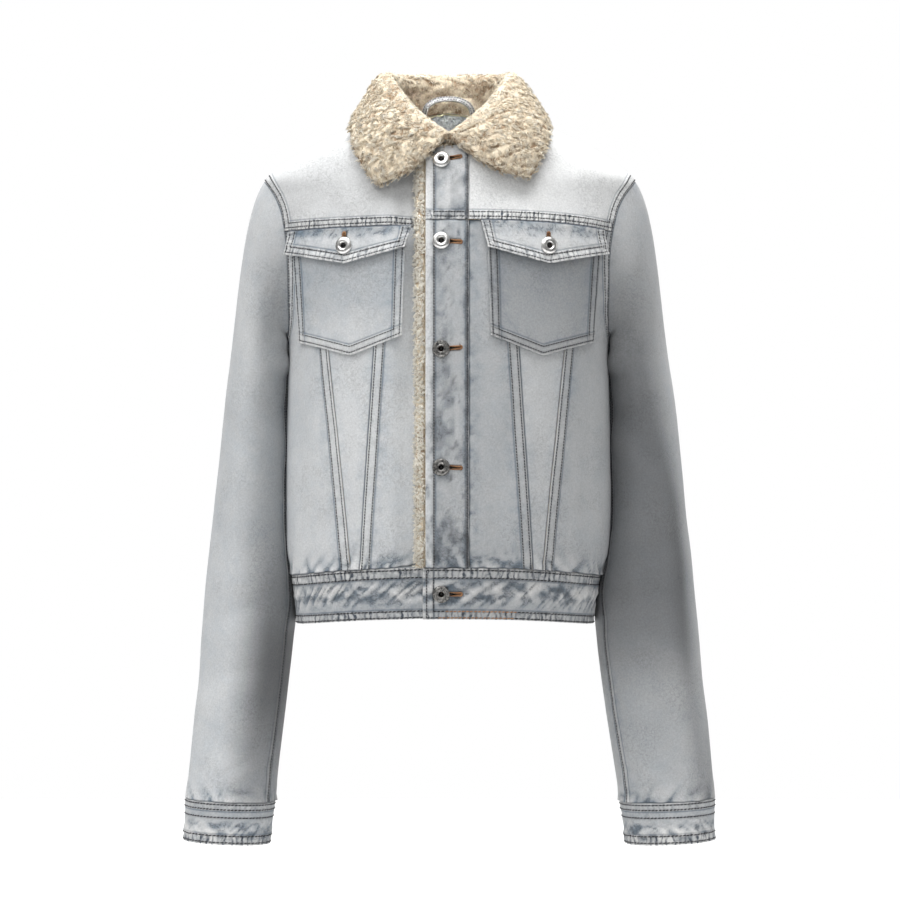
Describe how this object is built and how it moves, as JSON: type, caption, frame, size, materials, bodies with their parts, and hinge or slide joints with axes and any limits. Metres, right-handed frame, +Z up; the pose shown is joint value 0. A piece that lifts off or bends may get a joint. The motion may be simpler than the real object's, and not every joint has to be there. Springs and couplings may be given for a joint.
{
  "type": "denim jacket",
  "caption": "Waist-length denim trucker jacket with a sherpa collar, chest flap pockets, V seams, a laid-over button front, waistband and cuffs, hollow and filled out as if worn",
  "frame": {"origin": "the middle of the neck opening, at the height of the inner ends of the shoulder seams, where the wearer's neck and shoulders hold the jacket up", "axes": "+X to the wearer's left, -Y to the front, +Z up"},
  "size_m": [0.5308, 0.2413, 0.7765],
  "materials": {
    "denim": "light-wash cotton twill, faded along its seams",
    "sherpa": "cream pile in short curled tufts",
    "button_metal": "stamped shank buttons, bright to antique"
  },
  "bodies": {
    "root": {"back_panel": "denim", "back_yoke": "denim", "button_1": "button_metal", "button_2": "button_metal", "button_3": "button_metal", "button_4": "button_metal", "button_5": "button_metal", "collar": "sherpa", "cuff_left": "denim", "cuff_right": "denim", "flap_button_left": "button_metal", "flap_button_right": "button_metal", "flap_left": "denim", "flap_right": "denim", "front_centre_left": "denim", "front_centre_right": "denim", "front_dart_left": "denim", "front_dart_right": "denim", "front_side_left": "denim", "front_side_right": "denim", "front_yoke_left": "denim", "front_yoke_right": "denim", "hanger_loop": "denim", "neck_facing": "denim", "placket_front": "denim", "placket_yoke": "denim", "pocket_left": "denim", "pocket_right": "denim", "sherpa_strip": "sherpa", "sleeve_under_left": "denim", "sleeve_under_right": "denim", "sleeve_upper_left": "denim", "sleeve_upper_right": "denim", "waistband": "denim"}
  },
  "joints": []
}
